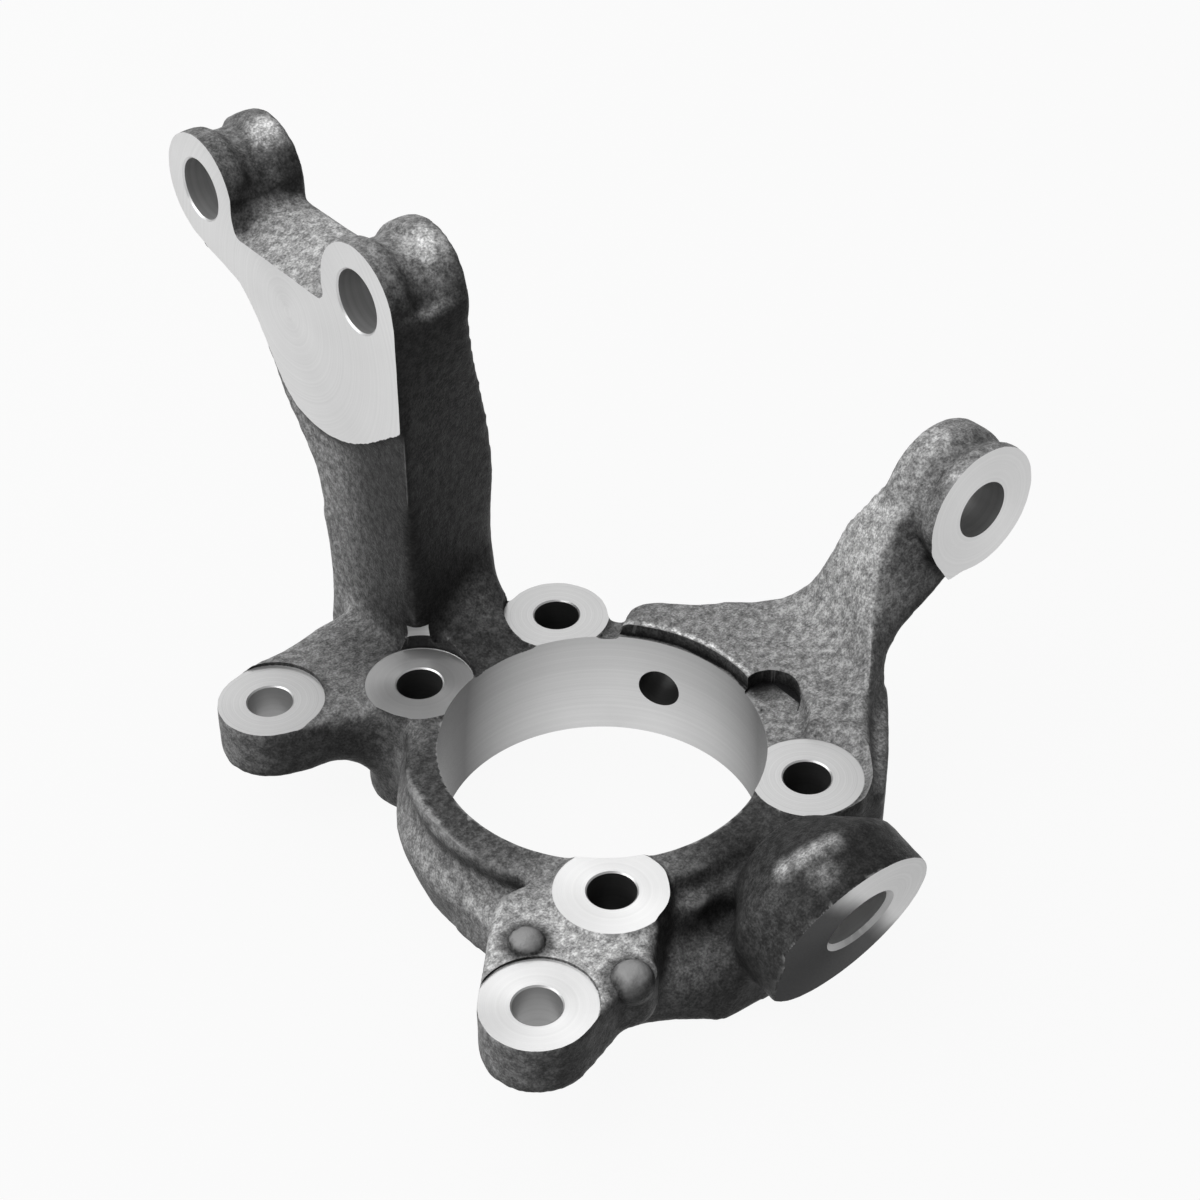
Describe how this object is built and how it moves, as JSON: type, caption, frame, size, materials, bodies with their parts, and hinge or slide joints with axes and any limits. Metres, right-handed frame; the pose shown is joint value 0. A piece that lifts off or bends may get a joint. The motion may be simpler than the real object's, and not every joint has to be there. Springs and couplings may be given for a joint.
{
  "type": "steering knuckle",
  "caption": "Cast strut steering knuckle: open hub bore with bolt pads, caliper ears, two-hole strut mount, tie-rod arm and lower ball joint boss.",
  "frame": {"origin": "on the hub bore axis, in the outboard face that the hub seats on", "axes": "+Z inboard along the hub bore, +Y up to the strut mount, +X to the tie-rod arm"},
  "size_m": [0.219, 0.2646, 0.1614],
  "materials": {
    "cast_iron": "sand-cast skin with machined bore, pads and faces"
  },
  "bodies": {
    "root": {"knuckle_casting": "cast_iron"}
  },
  "joints": []
}
